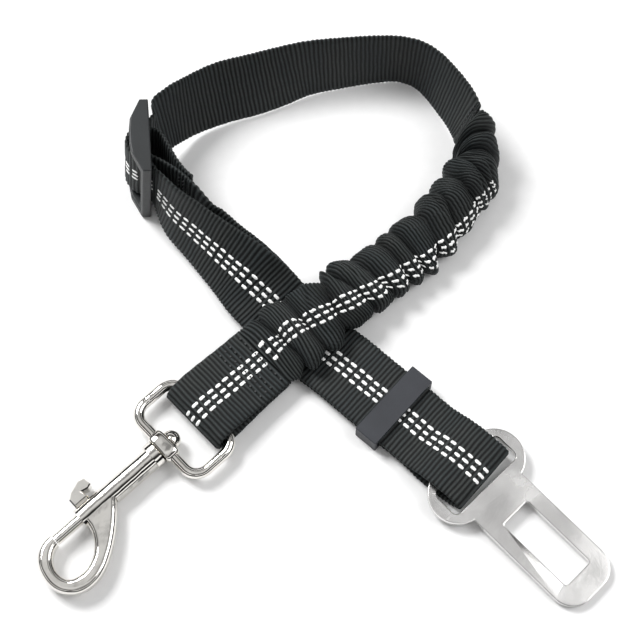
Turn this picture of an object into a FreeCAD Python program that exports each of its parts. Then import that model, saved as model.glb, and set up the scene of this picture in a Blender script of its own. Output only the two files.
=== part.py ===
import FreeCAD
import Part
import math
import os
import Sketcher

Vector = FreeCAD.Vector
doc = FreeCAD.newDocument("seat_belt_leash")

# ---------------------------------------------------------------- driving dimensions, in millimetres
DIMENSIONS = [
    ("origin_east", -1.0, "shift of the laid-out leash that centres it on the origin"),
    ("origin_north", 0.3, "the same, northwards"),
    ("web_width", 25.0, "nylon webbing, across"),
    ("web_thickness", 1.4, "nylon webbing, through"),
    ("web_gap", 0.3, "air between two layers that lie on each other"),
    ("elastic_width", 12.6, "elastic band in the sleeve"),
    ("elastic_thickness", 1.2, "elastic band in the sleeve"),
    ("sleeve_wall", 1.3, "gathered webbing of the sleeve"),
    ("wire_radius", 1.8, "round wire of the swivel eye"),
    ("eye_length", 17.4, "eye: far bar to hub wire, centre to centre"),
    ("eye_half_span", 15.2, "eye: axis to the centre of a side arm"),
    ("eye_corner", 5.0, "eye: bend radius of the wire's centre"),
    ("axis_height", 4.45, "height of the snap's axis above the floor"),
    ("hub_start", 14.5, "hub block, from the far bar"),
    ("hub_length", 5.7, "hub block, along the axis"),
    ("hub_half_width", 5.1, "hub block, across"),
    ("hub_half_height", 2.7, "hub block, upwards"),
    ("shank_radius", 1.9, "swivel rivet's shank"),
    ("swivel_clearance", 0.06, "radial clearance of the shank in the hub"),
    ("dome_radius", 3.3, "swivel rivet's head"),
    ("barrel_start", 20.4, "barrel, from the eye's far bar"),
    ("barrel_end", 52.1, "mouth of the barrel"),
    ("barrel_radius", 3.3, "barrel"),
    ("flange_radius", 4.4, "collar beside the hub"),
    ("flange_length", 2.6, "collar beside the hub"),
    ("rib_length", 18.0, "stiffening rib between collar and hook"),
    ("rib_reach", 3.9, "stiffening rib, out from the axis"),
    ("rib_height", 2.4, "stiffening rib, upwards"),
    ("bore_start", 28.2, "blind end of the spring bore"),
    ("bore_radius", 1.9, "spring bore"),
    ("bolt_radius", 1.8, "bolt"),
    ("bolt_start", 41.0, "inner end of the bolt, shut"),
    ("bolt_end", 62.1, "nose of the bolt, shut"),
    ("bolt_travel", 9.0, "how far the thumb tab draws the bolt back"),
    ("neck_start", 46.2, "thumb tab's neck, shut"),
    ("neck_length", 4.2, "thumb tab's neck"),
    ("neck_half_height", 1.0, "thumb tab's neck"),
    ("tab_half_height", 2.3, "thumb tab"),
    ("tab_lift", 3.6, "underside of the thumb tab, from the axis"),
    ("hook_half_height", 2.6, "hook, half of its thickness"),
    ("hook_rounding", 1.7, "rounding along the hook's edges"),
    ("spring_wire", 0.25, "spring wire radius"),
    ("spring_coil", 1.45, "spring coil's mean radius"),
    ("spring_turns", 9.0, "turns in the spring"),
    ("slider_span", 27.0, "tri-glide, along the strap"),
    ("slider_reach", 33.0, "tri-glide, across the strap"),
    ("slider_rim", 3.4, "tri-glide: thickness of its crossbars"),
    ("slider_crown", 6.8, "tri-glide: height of its side rails at the middle"),
    ("slider_window", 27.0, "tri-glide: slots, across the strap"),
    ("slider_crossbar", 4.0, "tri-glide: end crossbars, along the strap"),
    ("slider_centre_bar", 4.4, "tri-glide: centre bar, along the strap"),
    ("keeper_reach", 28.4, "keeper, across the strap"),
    ("keeper_height", 6.8, "keeper, upwards"),
    ("keeper_span", 8.4, "keeper, along the strap"),
    ("keeper_wall", 1.4, "keeper"),
    ("plate_thickness", 2.5, "steel tongue plate"),
    ("head_radius", 9.7, "tongue: round ends of its head"),
    ("head_half_width", 18.2, "tongue: head, across"),
    ("blade_width", 21.8, "tongue: blade, across"),
    ("blade_length", 41.5, "tongue: neck to tip"),
    ("blade_corner", 7.5, "tongue: corners at the tip"),
    ("window_start", 7.0, "tongue: neck to latch window"),
    ("window_length", 26.8, "tongue: latch window"),
    ("window_width", 11.2, "tongue: latch window"),
    ("slot_length", 10.0, "tongue: strap slot, along the tongue"),
    ("slot_width", 28.4, "tongue: strap slot, across"),
    ("head_bar", 4.4, "tongue: bar that the strap goes round"),
    ("stitch_radius", 0.3, "sewing thread"),
]

sheet = doc.addObject("Spreadsheet::Sheet", "sizes")
for row, (alias, value, note) in enumerate(DIMENSIONS, start=1):
    sheet.set("A%d" % row, alias)
    sheet.set("B%d" % row, str(value))
    sheet.set("C%d" % row, note)
    sheet.setAlias("B%d" % row, alias)
doc.recompute()


def size(alias):
    return float(getattr(sheet, alias))


# ---------------------------------------------------------------- where things lie on the floor
SNAP_HEADING = 223.5
EYE_BAR_X = -37.2
EYE_BAR_Y = -33.7
SLIDER_X = -57.4
SLIDER_Y = 51.8
SLIDER_Z = 16.55
SLIDER_LEAN = 6.5
SLIDER_TURN = 5.3
STRAP_HEADING = -41.4
KEEPER_X = 23.8
KEEPER_Y = -32.4
TONGUE_HEADING = -45.7
TONGUE_BAR_X = 44.3
TONGUE_BAR_Y = -50.0


def unit(degrees):
    angle = math.radians(degrees)
    return Vector(math.cos(angle), math.sin(angle), 0)


SHIFT = Vector(size("origin_east"), size("origin_north"), 0)
UP = Vector(0, 0, 1)
FLOOR_GAP = 0.05
STRAP_DIRECTION = unit(STRAP_HEADING)
SNAP_DIRECTION = unit(SNAP_HEADING)
sub_parts = []


def placed(label, shape):
    """A sub-part whose solid is computed in the laid-out frame."""
    feature = doc.addObject("Part::Feature", label)
    feature.Label = label
    feature.Shape = shape
    feature.Placement = FreeCAD.Placement(SHIFT, FreeCAD.Rotation())
    sub_parts.append(feature)
    return feature


def place(feature, label, base, rotation):
    """A sub-part modelled at its own origin, put where it lies."""
    feature.Label = label
    feature.Placement = FreeCAD.Placement(base + SHIFT, rotation)
    sub_parts.append(feature)
    return feature


# ---------------------------------------------------------------- webbing
def smooth_route(stations, steps):
    """Points of a smooth curve through the stations, each station a tuple of equal length."""
    pairs = list(zip(stations, stations[1:]))
    spans = [math.dist(a[:2], b[:2]) for a, b in pairs]
    rates = [tuple((q - p) / span for p, q in zip(a, b)) for (a, b), span in zip(pairs, spans)]
    slopes = [rates[0]]
    for i in range(1, len(spans)):
        share = spans[i] / (spans[i - 1] + spans[i])
        slopes.append(tuple(u * share + v * (1 - share) for u, v in zip(rates[i - 1], rates[i])))
    slopes.append(rates[-1])
    points = []
    for i, span in enumerate(spans):
        for k in range(steps):
            f = k / steps
            points.append(tuple(
                (1 + 2 * f) * (1 - f) ** 2 * p + f * (1 - f) ** 2 * span * m
                + f * f * (3 - 2 * f) * q - f * f * (1 - f) * span * n
                for p, q, m, n in zip(stations[i], stations[i + 1], slopes[i], slopes[i + 1])))
    points.append(tuple(stations[-1]))
    return points


def tangents(centres):
    result = []
    for i in range(len(centres)):
        before = centres[max(i - 1, 0)]
        after = centres[min(i + 1, len(centres) - 1)]
        result.append((after - before).normalize())
    return result


def section_wire(centre, across, through):
    corners = [centre + across + through, centre - across + through,
               centre - across - through, centre + across - through]
    return Part.makePolygon(corners + corners[:1])


def ribbon(centres, acrosses, width, thickness):
    """A flat band along the centres; across points over its width at each."""
    wires = []
    for centre, along, across in zip(centres, tangents(centres), acrosses):
        across = (across - along * across.dot(along)).normalize()
        normal = across.cross(along)
        wires.append(section_wire(centre, across * width / 2, normal * thickness / 2))
    return Part.makeLoft(wires, True, True)


def leaning_frame(stations, steps, width, thickness, under=0.0):
    """Centres and across vectors; stations are x, y, z and lean: 0 lies flat, 90 stands on edge."""
    points = smooth_route(stations, steps)
    leans = [math.radians(p[3]) for p in points]
    centres = []
    for (x, y, z, _), lean in zip(points, leans):
        reach = width / 2 * abs(math.sin(lean)) + (thickness / 2 + under) * abs(math.cos(lean))
        centres.append(Vector(x, y, max(z, reach + FLOOR_GAP)))
    acrosses = []
    for lean, along in zip(leans, tangents(centres)):
        right = Vector(along.y, -along.x, 0).normalize()
        acrosses.append(right * math.cos(lean) + right.cross(along) * math.sin(lean))
    return centres, acrosses


def leaning_ribbon(stations, steps, width, thickness):
    centres, acrosses = leaning_frame(stations, steps, width, thickness)
    return ribbon(centres, acrosses, width, thickness)


def folded_ribbon(origin, along, up, profile, across, width, thickness, steps=3):
    """A band whose centre line is a profile in the plane of along and up."""
    points = smooth_route(profile, steps)
    centres = [origin + along * a + up * b for a, b in points]
    return ribbon(centres, [across] * len(centres), width, thickness)


WEB = size("web_width")
THICK = size("web_thickness")
PITCH = THICK + size("web_gap")


# ---------------------------------------------------------------- parametric helpers
def primitive(kind, name, **expressions):
    """A Part primitive whose properties are bound to the sheet; dots are written as __."""
    item = doc.addObject("Part::" + kind, name)
    for prop, expression in expressions.items():
        item.setExpression(prop.replace("__", "."), expression)
    return item


def turned(item, axis, angle, expressions):
    """Turns a primitive about an axis, then binds its base."""
    item.Placement = FreeCAD.Placement(Vector(), FreeCAD.Rotation(axis, angle))
    for prop, expression in expressions.items():
        item.setExpression("Placement.Base." + prop, expression)
    return item


def fused(name, items):
    fuse = doc.addObject("Part::MultiFuse", name)
    fuse.Shapes = items
    return fuse


def cut(name, base, tool):
    item = doc.addObject("Part::Cut", name)
    item.Base = base
    item.Tool = tool
    return item


def origin_plane(body, role):
    return next(f for f in body.Origin.OriginFeatures if f.Role == role)


def amount(terms):
    """Value and expression of a sum of factor, alias pairs."""
    value = sum(factor * size(alias) for factor, alias in terms)
    expression = " + ".join("(%g) * sizes.%s" % pair for pair in terms) or "0"
    return value, expression


def pin_coordinate(sketch, kind, line, terms, axis):
    value, expression = amount(terms)
    if abs(value) < 1e-9:
        sketch.addConstraint(Sketcher.Constraint("PointOnObject", line, 1, axis))
    elif value > 0:
        index = sketch.addConstraint(Sketcher.Constraint(kind, -1, 1, line, 1, value))
        sketch.setExpression("Constraints[%d]" % index, expression)
    else:
        index = sketch.addConstraint(Sketcher.Constraint(kind, line, 1, -1, 1, -value))
        sketch.setExpression("Constraints[%d]" % index, "-(%s)" % expression)


def outline_sketch(body, name, role, loops):
    """Closed outlines; each vertex is a pair of term lists bound to the sheet."""
    sketch = body.newObject("Sketcher::SketchObject", name)
    sketch.AttachmentSupport = [(origin_plane(body, role), "")]
    sketch.MapMode = "FlatFace"
    for loop in loops:
        spots = [Vector(amount(a)[0], amount(b)[0], 0) for a, b in loop]
        lines = [sketch.addGeometry(Part.LineSegment(spots[i], spots[(i + 1) % len(spots)]), False)
                 for i in range(len(spots))]
        for i, line in enumerate(lines):
            follower = lines[(i + 1) % len(lines)]
            sketch.addConstraint(Sketcher.Constraint("Coincident", line, 2, follower, 1))
            pin_coordinate(sketch, "DistanceX", line, loop[i][0], -2)
            pin_coordinate(sketch, "DistanceY", line, loop[i][1], -1)
    return sketch


def rectangle(low_x, high_x, low_y, high_y):
    return [(low_x, low_y), (high_x, low_y), (high_x, high_y), (low_x, high_y)]


def pad(body, name, sketch, length):
    feature = body.newObject("PartDesign::Pad", name)
    feature.Profile = sketch
    feature.Midplane = True
    feature.setExpression("Length", length)
    return feature


def pocket(body, name, sketch):
    feature = body.newObject("PartDesign::Pocket", name)
    feature.Profile = sketch
    feature.Type = "ThroughAll"
    feature.Midplane = True
    return feature


# ---------------------------------------------------------------- swivel snap
SNAP_BASE = Vector(EYE_BAR_X, EYE_BAR_Y, size("axis_height"))
SNAP_TURN = FreeCAD.Rotation(UP, SNAP_HEADING)
ALONG_X = Vector(0, 1, 0)


def axial_cylinder(name, radius, start, length):
    """A cylinder on the snap's axis, from start towards the hook."""
    item = primitive("Cylinder", name, Radius=radius, Height=length)
    return turned(item, ALONG_X, 90, {"x": start})


HOOK_OUTER = [(39.0, 2.5), (44.0, 8.3), (52.0, 15.1), (60.5, 18.9), (67.6, 17.8),
              (71.9, 12.6), (72.2, 6.2), (69.2, 0.3), (65.3, -1.8)]
HOOK_TIP = [(62.4, -2.0), (62.4, 2.0)]
HOOK_INNER = [(64.8, 2.9), (67.9, 7.5), (67.2, 12.1), (62.8, 14.0), (57.2, 12.4), (53.0, 7.8), (51.6, 1.0)]
HOOK_ROOT = (39.0, 1.0)


def hook_plate_shape():
    """The curled hook and its web, cut from a plate and rounded along both faces."""
    half = size("hook_half_height")
    rounding = size("hook_rounding")

    def flat(points):
        return [Vector(x, y, -half) for x, y in points]

    outer = Part.BSplineCurve()
    outer.interpolate(flat(HOOK_OUTER + HOOK_TIP[:1]))
    inner = Part.BSplineCurve()
    inner.interpolate(flat(HOOK_TIP[1:] + HOOK_INNER))
    ends = flat(HOOK_TIP + HOOK_INNER[-1:] + [HOOK_ROOT] + HOOK_OUTER[:1])
    edges = [outer.toShape(), Part.LineSegment(ends[0], ends[1]).toShape(), inner.toShape(),
             Part.LineSegment(ends[2], ends[3]).toShape(), Part.LineSegment(ends[3], ends[4]).toShape()]
    plate = Part.Face(Part.Wire(edges)).extrude(Vector(0, 0, 2 * half))
    long_edges = [e for e in plate.Edges
                  if e.Length > 30 and abs(abs(e.BoundBox.Center.z) - half) < 0.01]
    return plate.makeFillet(rounding, long_edges)


hook_plate = doc.addObject("Part::Feature", "hook_plate")
hook_plate.Shape = hook_plate_shape()
barrel = axial_cylinder("barrel", "sizes.barrel_radius", "sizes.barrel_start",
                        "sizes.barrel_end - sizes.barrel_start")
flange = axial_cylinder("flange", "sizes.flange_radius", "sizes.barrel_start", "sizes.flange_length")
rib = primitive("Box", "rib", Length="sizes.rib_length", Width="sizes.rib_reach", Height="sizes.rib_height")
turned(rib, UP, 0, {"x": "sizes.barrel_start + sizes.flange_length / 2", "z": "-sizes.rib_height / 2"})
spring_bore = axial_cylinder("spring_bore", "sizes.bore_radius", "sizes.bore_start", "40")
rivet_bore = axial_cylinder("rivet_bore", "sizes.shank_radius", "sizes.barrel_start - 1",
                            "sizes.bore_start - sizes.barrel_start - 0.5")
tab_slot = primitive("Box", "tab_slot", Length="sizes.neck_length + sizes.bolt_travel + 0.6",
                     Width="6", Height="2 * sizes.neck_half_height + 0.4")
turned(tab_slot, UP, 0, {"x": "sizes.neck_start - sizes.bolt_travel - 0.3", "y": "-6",
                         "z": "-sizes.neck_half_height - 0.2"})
casting_blank = fused("casting_blank", [hook_plate, barrel, flange, rib])
casting_tools = fused("casting_tools", [spring_bore, rivet_bore, tab_slot])
place(cut("casting", casting_blank, casting_tools), "snap_casting", SNAP_BASE, SNAP_TURN)

bolt = primitive("Cylinder", "bolt", Radius="sizes.bolt_radius", Height="sizes.bolt_end - sizes.bolt_start")
place(bolt, "snap_bolt", SNAP_BASE + SNAP_DIRECTION * size("bolt_start"),
      SNAP_TURN.multiply(FreeCAD.Rotation(ALONG_X, 90)))

TAB_OUTLINE = [(45.6, 3.6), (50.8, 3.6), (50.8, 6.4), (49.0, 7.9), (44.9, 9.4), (42.7, 8.8),
               (42.4, 6.0), (43.9, 5.4), (46.2, 5.9)]
TAB_CHAMFER = 0.35


def thumb_tab_shape():
    """The hooked thumb plate and the neck that runs in the barrel's slot."""
    half = size("tab_half_height")
    neck_half = size("neck_half_height")
    reach = size("tab_lift")
    plate_points = [Vector(x, -y, -half) for x, y in TAB_OUTLINE]
    plate = Part.Face(Part.makePolygon(plate_points + plate_points[:1])).extrude(Vector(0, 0, 2 * half))
    edges = [e for e in plate.Edges if abs(abs(e.BoundBox.Center.z) - half) < 0.01]
    plate = plate.makeChamfer(TAB_CHAMFER, edges)
    neck = Part.makeBox(size("neck_length"), reach + 0.5 - size("bolt_radius") + 0.3, 2 * neck_half,
                        Vector(size("neck_start"), -reach - 0.5, -neck_half))
    return plate.fuse(neck).removeSplitter()


tab = doc.addObject("Part::Feature", "tab")
tab.Shape = thumb_tab_shape()
place(tab, "thumb_tab", SNAP_BASE, SNAP_TURN)


def spring_shape():
    """A compression spring, standing on its end, between the bore's blind end and the bolt."""
    length = size("bolt_start") - size("bore_start") - 2 * size("spring_wire") - 2 * SPRING_END_GAP
    helix = Part.makeHelix(length / size("spring_turns"), length, size("spring_coil"))
    profile = Part.makeCircle(size("spring_wire"), Vector(size("spring_coil"), 0, 0), Vector(0, 1, 0))
    return helix.makePipeShell([Part.Wire(profile)], True, True)


SPRING_END_GAP = 0.05
spring = doc.addObject("Part::Feature", "spring")
spring.Shape = spring_shape()
spring_start = size("bore_start") + size("spring_wire") + SPRING_END_GAP
place(spring, "snap_spring", SNAP_BASE + SNAP_DIRECTION * spring_start,
      SNAP_TURN.multiply(FreeCAD.Rotation(ALONG_X, 90)))

rivet_dome = turned(primitive("Sphere", "rivet_dome", Radius="sizes.dome_radius"), UP, 0,
                    {"x": "sizes.hub_start - 0.1"})
DOME_SPAN = "4 * sizes.dome_radius"
rivet_trim = turned(primitive("Box", "rivet_trim", Length=DOME_SPAN, Width=DOME_SPAN, Height=DOME_SPAN), UP, 0,
                    {"x": "sizes.hub_start - 0.1", "y": "-2 * sizes.dome_radius",
                     "z": "-2 * sizes.dome_radius"})
dome_half = cut("dome_half", rivet_dome, rivet_trim)
rivet_shank = axial_cylinder("rivet_shank", "sizes.shank_radius", "sizes.hub_start - 0.5",
                             "sizes.bore_start - sizes.hub_start - 1.0")
place(fused("rivet", [dome_half, rivet_shank]), "swivel_rivet", SNAP_BASE, SNAP_TURN)


def eye_wire_shape():
    """The closed ring of round wire: four straight runs and four bends."""
    far = 0.0
    near = size("eye_length")
    side = size("eye_half_span")
    bend = size("eye_corner")
    corners = [(far, -side), (near, -side), (near, side), (far, side)]
    edges = []
    ends = []
    for i, (x, y) in enumerate(corners):
        inward = Vector(bend if x == far else -bend, bend if y < 0 else -bend, 0)
        centre = Vector(x, y, 0) + inward
        first = Vector(x, y + inward.y, 0)
        second = Vector(x + inward.x, y, 0)
        if i % 2:
            first, second = second, first
        middle = centre + (Vector(x, y, 0) - centre).normalize() * bend
        edges.append(Part.Arc(first, middle, second).toShape())
        ends.append((first, second))
    for i in range(4):
        edges.append(Part.LineSegment(ends[i][1], ends[(i + 1) % 4][0]).toShape())
    path = Part.Wire(Part.__sortEdges__(edges))
    start = path.Edges[0]
    profile = Part.Wire(Part.makeCircle(size("wire_radius"), start.valueAt(start.FirstParameter),
                                        start.tangentAt(start.FirstParameter)))
    return path.makePipeShell([profile], True, True)


eye_wire = doc.addObject("Part::Feature", "eye_wire")
eye_wire.Shape = eye_wire_shape()
hub_block = primitive("Box", "hub_block", Length="sizes.hub_length", Width="2 * sizes.hub_half_width",
                      Height="2 * sizes.hub_half_height")
turned(hub_block, UP, 0, {"x": "sizes.hub_start", "y": "-sizes.hub_half_width",
                          "z": "-sizes.hub_half_height"})
hub_bore = axial_cylinder("hub_bore", "sizes.shank_radius + sizes.swivel_clearance",
                          "sizes.hub_start - 2", "sizes.hub_length + 4")
place(cut("eye", fused("eye_blank", [eye_wire, hub_block]), hub_bore), "swivel_eye", SNAP_BASE, SNAP_TURN)

# ---------------------------------------------------------------- snap-end webbing and the bungee
STRAP_AWAY = -SNAP_DIRECTION
SNAP_ACROSS = Vector(STRAP_AWAY.y, -STRAP_AWAY.x, 0)
SLEEVE_START = 26.0
FOLD_BASE = Vector(EYE_BAR_X, EYE_BAR_Y, size("axis_height"))
SNAP_FOLD = [(SLEEVE_START, 1.9), (16, 2.3), (7, 3.2), (0, 3.6), (-3.9, 2.3), (-5.2, 0.1), (-3.9, -2.1),
             (0, -3.55), (7, -2.85), (16, -0.9), (SLEEVE_START, 0.15)]
placed("snap_end_webbing",
       folded_ribbon(FOLD_BASE, STRAP_AWAY, UP, SNAP_FOLD, SNAP_ACROSS, WEB, THICK))

SEAM_GAP = 0.15
SLEEVE_FOOT = FOLD_BASE + STRAP_AWAY * (SLEEVE_START + SEAM_GAP)
SLEEVE_HEAD = Vector(51.2, 65.2, 0)
SLEEVE_HEADING = unit(-74.0)
SLEEVE_HEAD_LEAN = 105.0
# Stations of the sleeve: x, y, lift off the floor, lean, width across and height of its section.
SLEEVE_ROUTE = [
    (SLEEVE_FOOT.x, SLEEVE_FOOT.y, 3.4, 0, 25.0, 4.2),
    (SLEEVE_FOOT.x + 1.96, SLEEVE_FOOT.y + 1.86, 3.5, 0, 24.6, 4.5),
    (-11.4, -10.1, 4.9, 0, 24.0, 5.6),
    (-4.4, -5.6, 5.0, 0, 22.4, 7.4),
    (5.0, 2.0, 3.6, 0, 21.0, 9.6),
    (16.2, 11.0, 0.9, 4, 19.6, 11.2),
    (29.1, 21.6, 0.05, 12, 18.6, 12.4),
    (37.4, 29.2, 0.05, 26, 18.0, 12.8),
    (44.8, 37.4, 0.05, 44, 17.8, 13.6),
    (50.9, 45.9, 0.05, 64, 17.8, 14.0),
    (54.2, 54.0, 0.05, 82, 18.5, 14.0),
    (53.5, 59.0, 0.05, 95, 20.6, 12.4),
    (52.3, 62.5, 0.2, 102, 23.4, 10.4),
    (SLEEVE_HEAD.x + 0.35, SLEEVE_HEAD.y - 1.1, 0.3, SLEEVE_HEAD_LEAN, 24.8, 6.0),
    (SLEEVE_HEAD.x, SLEEVE_HEAD.y, 0.3, SLEEVE_HEAD_LEAN, 25.0, 4.2),
]
SLEEVE_FACETS = 16
SLEEVE_SQUARENESS = 0.7


def rest_height(point):
    """How far a leaning sleeve section reaches below its centre."""
    order = 2 / (2 - SLEEVE_SQUARENESS)
    lean = math.radians(point[3])
    sideways = abs(point[4] / 2 * math.sin(lean)) ** order
    return (sideways + abs(point[5] / 2 * math.cos(lean)) ** order) ** (1 / order)


def sleeve_section(centre, across, normal, half_width, half_height):
    """A rounded, flattened ring of the sleeve."""
    points = []
    for k in range(SLEEVE_FACETS):
        angle = 2 * math.pi * (k + 0.5) / SLEEVE_FACETS
        spread = math.copysign(abs(math.cos(angle)) ** SLEEVE_SQUARENESS, math.cos(angle))
        lift = math.copysign(abs(math.sin(angle)) ** SLEEVE_SQUARENESS, math.sin(angle))
        points.append(centre + across * half_width * spread + normal * half_height * lift)
    return Part.makePolygon(points + points[:1])


def sleeve_shape():
    """The gathered tube of webbing: a lofted skin with the elastic's channel left open."""
    points = smooth_route(SLEEVE_ROUTE, 2)
    centres = [Vector(p[0], p[1], p[2] + rest_height(p)) for p in points]
    wall = size("sleeve_wall")
    outer = []
    channel = []
    level_line = [Vector(p[0], p[1], 0) for p in points]
    for point, along, centre in zip(points, tangents(level_line), centres):
        right = Vector(along.y, -along.x, 0)
        lean = math.radians(-point[3])
        across = right * math.cos(lean) + right.cross(along) * math.sin(lean)
        normal = across.cross(along)
        outer.append(sleeve_section(centre, across, normal, point[4] / 2, point[5] / 2))
        channel.append(sleeve_section(centre, across, normal, point[4] / 2 - wall, point[5] / 2 - wall))
    return Part.makeLoft(outer, True, True).cut(Part.makeLoft(channel, True, True))


placed("bungee_sleeve", sleeve_shape())
band_route = [(p[0], p[1], p[2] + rest_height(p), -p[3]) for p in SLEEVE_ROUTE]
placed("elastic_band", leaning_ribbon(band_route, 2, size("elastic_width"), size("elastic_thickness")))

# ---------------------------------------------------------------- adjuster
SLIDER_ALONG = unit(SLIDER_TURN - 90)
SLIDER_RIGHT = UP.cross(SLIDER_ALONG)
LEAN = math.radians(SLIDER_LEAN)
SLIDER_UP = UP * math.cos(LEAN) + SLIDER_RIGHT * math.sin(LEAN)
SLIDER_OUT = SLIDER_ALONG.cross(SLIDER_UP)
SLIDER_BASE = Vector(SLIDER_X, SLIDER_Y, SLIDER_Z)


def slider_spot(along, out, up=0.0):
    return SLIDER_BASE + SLIDER_ALONG * along + SLIDER_OUT * out + SLIDER_UP * up


slider = doc.addObject("PartDesign::Body", "slider")
HALF_SPAN = [(0.5, "slider_span")]
MINUS_HALF_SPAN = [(-0.5, "slider_span")]
HALF_WINDOW = [(0.5, "slider_window")]
MINUS_HALF_WINDOW = [(-0.5, "slider_window")]
side_profile = outline_sketch(slider, "side_profile", "XZ_Plane", [[
    (MINUS_HALF_SPAN, []), (HALF_SPAN, []), (HALF_SPAN, [(0.85, "slider_rim")]),
    ([(0.23, "slider_span")], [(0.93, "slider_crown")]), ([(0.08, "slider_span")], [(1.0, "slider_crown")]),
    ([(-0.08, "slider_span")], [(1.0, "slider_crown")]), ([(-0.23, "slider_span")], [(0.93, "slider_crown")]),
    (MINUS_HALF_SPAN, [(0.85, "slider_rim")])]])
pad(slider, "slider_block", side_profile, "sizes.slider_reach")
saddle_sketch = outline_sketch(slider, "saddle_sketch", "YZ_Plane", [rectangle(
    MINUS_HALF_WINDOW, HALF_WINDOW, [(1.0, "slider_rim")], [(2.0, "slider_crown")])])
pocket(slider, "saddle", saddle_sketch)
BAR_EDGE = [(0.5, "slider_centre_bar")]
MINUS_BAR_EDGE = [(-0.5, "slider_centre_bar")]
END_BAR = [(0.5, "slider_span"), (-1.0, "slider_crossbar")]
MINUS_END_BAR = [(-0.5, "slider_span"), (1.0, "slider_crossbar")]
window_sketch = outline_sketch(slider, "window_sketch", "XY_Plane", [
    rectangle(BAR_EDGE, END_BAR, MINUS_HALF_WINDOW, HALF_WINDOW),
    rectangle(MINUS_END_BAR, MINUS_BAR_EDGE, MINUS_HALF_WINDOW, HALF_WINDOW)])
pocket(slider, "windows", window_sketch)
slider_matrix = FreeCAD.Matrix(
    SLIDER_ALONG.x, SLIDER_UP.x, SLIDER_OUT.x, 0, SLIDER_ALONG.y, SLIDER_UP.y, SLIDER_OUT.y, 0,
    SLIDER_ALONG.z, SLIDER_UP.z, SLIDER_OUT.z, 0, 0, 0, 0, 1)
place(slider, "tri_glide_slider", SLIDER_BASE, FreeCAD.Placement(slider_matrix).Rotation)

# The strap over the centre bar, in the slider's own plane: along the strap, outwards.
BIGHT = [(10.4, -1.25), (8.7, -0.35), (7.4, 1.1), (6.0, 3.9), (3.4, 6.6), (0, 7.6), (-3.4, 6.6),
         (-6.0, 3.9), (-7.4, 1.2), (-8.7, -0.5), (-10.4, -2.0)]
placed("slider_bight_webbing",
       folded_ribbon(SLIDER_BASE, SLIDER_ALONG, SLIDER_OUT, BIGHT, SLIDER_UP, WEB, THICK))
ANCHOR = [(15.0, -12.1), (12.4, -9.8), (9.9, -7.0), (7.4, -3.6), (5.1, 0.2), (3.4, 3.7), (0, 4.9),
          (-3.4, 3.7), (-4.9, 0.3), (-4.2, -2.8), (-0.6, -5.0), (3.6, -6.8), (7.2, -8.5), (10.8, -10.7),
          (13.6, -13.2)]
placed("anchor_fold_webbing",
       folded_ribbon(SLIDER_BASE, SLIDER_ALONG, SLIDER_OUT, ANCHOR, SLIDER_UP, WEB, THICK))

# ---------------------------------------------------------------- long webbing runs
TONGUE_STRAP_END = 40
SPLIT = Vector(KEEPER_X, KEEPER_Y, 0) - STRAP_DIRECTION * TONGUE_STRAP_END
FRONT_LEVEL = 2.7
LEAD = 2.5


def spot_route(spot, lean):
    return (spot.x, spot.y, spot.z, lean)


RUN_START = SPLIT + UP * FRONT_LEVEL - STRAP_DIRECTION * SEAM_GAP
RUN_LEAD = RUN_START - STRAP_DIRECTION * LEAD
FRONT_EDGE_LEAN = 84.4


def beyond(profile, distance):
    """A spot past the first point of a profile in the slider's plane, straight on."""
    run = Vector(profile[0][0] - profile[1][0], profile[0][1] - profile[1][1], 0).normalize()
    return slider_spot(profile[0][0] + run.x * distance, profile[0][1] + run.y * distance)


CLIMB = [(-12.2, 0.2, 3.2, 3), (-17.2, 5.0, 5.6, 14), (-24.8, 11.2, 10.0, 36), (-33.6, 19.0, 12.0, 54),
         (-41.6, 26.2, 13.6, 65), (-48.6, 32.4, 15.3, 72), (-53.0, 38.3, 16.25, 80)]
FRONT_ROUTE = [spot_route(RUN_START, 0), spot_route(RUN_LEAD, 0)] + CLIMB + [
    spot_route(beyond(BIGHT, 2 * SEAM_GAP), FRONT_EDGE_LEAN)]
ROUTE_STEPS = 3
front_centres, front_acrosses = leaning_frame(FRONT_ROUTE, ROUTE_STEPS, WEB, THICK, PITCH)
placed("front_webbing", ribbon(front_centres, front_acrosses, WEB, THICK))

# The layer behind it keeps close, then swings away to the slider's centre bar.
BACK_GAPS = (PITCH, PITCH, PITCH, 1.1 * PITCH, 2.3, 3.1)
BACK_BEND = Vector(-38.0, 29.0, 12.9)
BACK_BEND_ACROSS = Vector(0.286, 0.266, 0.9205)


def back_stations():
    runs = tangents(front_centres)
    stations = []
    for i, gap in enumerate(BACK_GAPS):
        centre, across, run = (row[i * ROUTE_STEPS] for row in (front_centres, front_acrosses, runs))
        spot = centre - across.cross(run).normalize() * gap
        reach = WEB / 2 * across.z + THICK / 2 * math.sqrt(1 - across.z ** 2)
        stations.append(tuple(Vector(spot.x, spot.y, max(spot.z, reach + FLOOR_GAP))) + tuple(across))
    stations.append(tuple(BACK_BEND) + tuple(BACK_BEND_ACROSS))
    for short in (LEAD, 2 * SEAM_GAP):
        stations.append(tuple(beyond(ANCHOR, short)) + tuple(SLIDER_UP))
    return stations


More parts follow.
